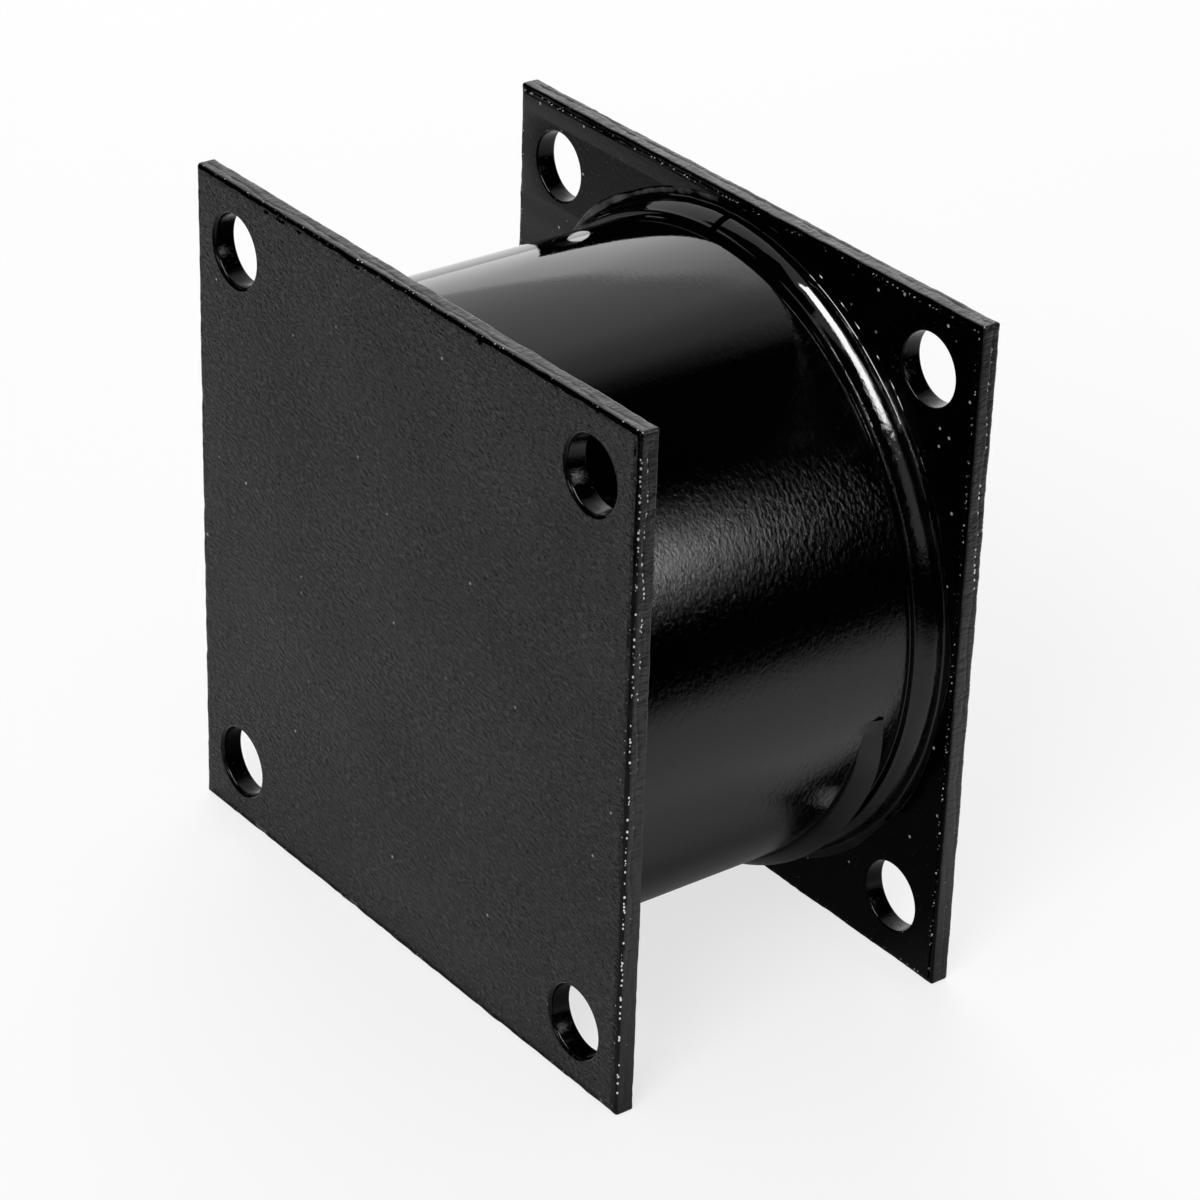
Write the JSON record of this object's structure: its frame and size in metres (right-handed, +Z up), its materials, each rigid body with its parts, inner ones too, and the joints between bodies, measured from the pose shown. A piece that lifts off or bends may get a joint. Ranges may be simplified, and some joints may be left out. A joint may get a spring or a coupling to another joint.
{
  "type": "rubber anti-vibration mount",
  "caption": "Solid rubber cylinder bonded between parallel square steel plates with corner bolt holes, which keeps a machine's vibration from its frame.",
  "frame": {"origin": "centre of the mount: on the rubber's axis, midway between the plates", "axes": "+Y along the rubber's axis towards the rear plate, +X across the plates, +Z up, with the plates standing on their lower edges"},
  "size_m": [0.15, 0.087, 0.15],
  "materials": {
    "plate_paint": "satin black paint on steel",
    "rubber": "glossy black paint on moulded rubber"
  },
  "bodies": {
    "front": {"front_plate": "plate_paint", "rubber_body": "rubber"},
    "rear": {"rear_plate": "plate_paint"}
  },
  "joints": [
    {"name": "rubber_compression", "type": "slide", "parent": "front", "child": "rear", "axis": [0, 1, 0], "range_m": [-0.01, 0.003], "stiffness_N_per_m": 850000, "deforming": ["rubber_body"]}
  ]
}
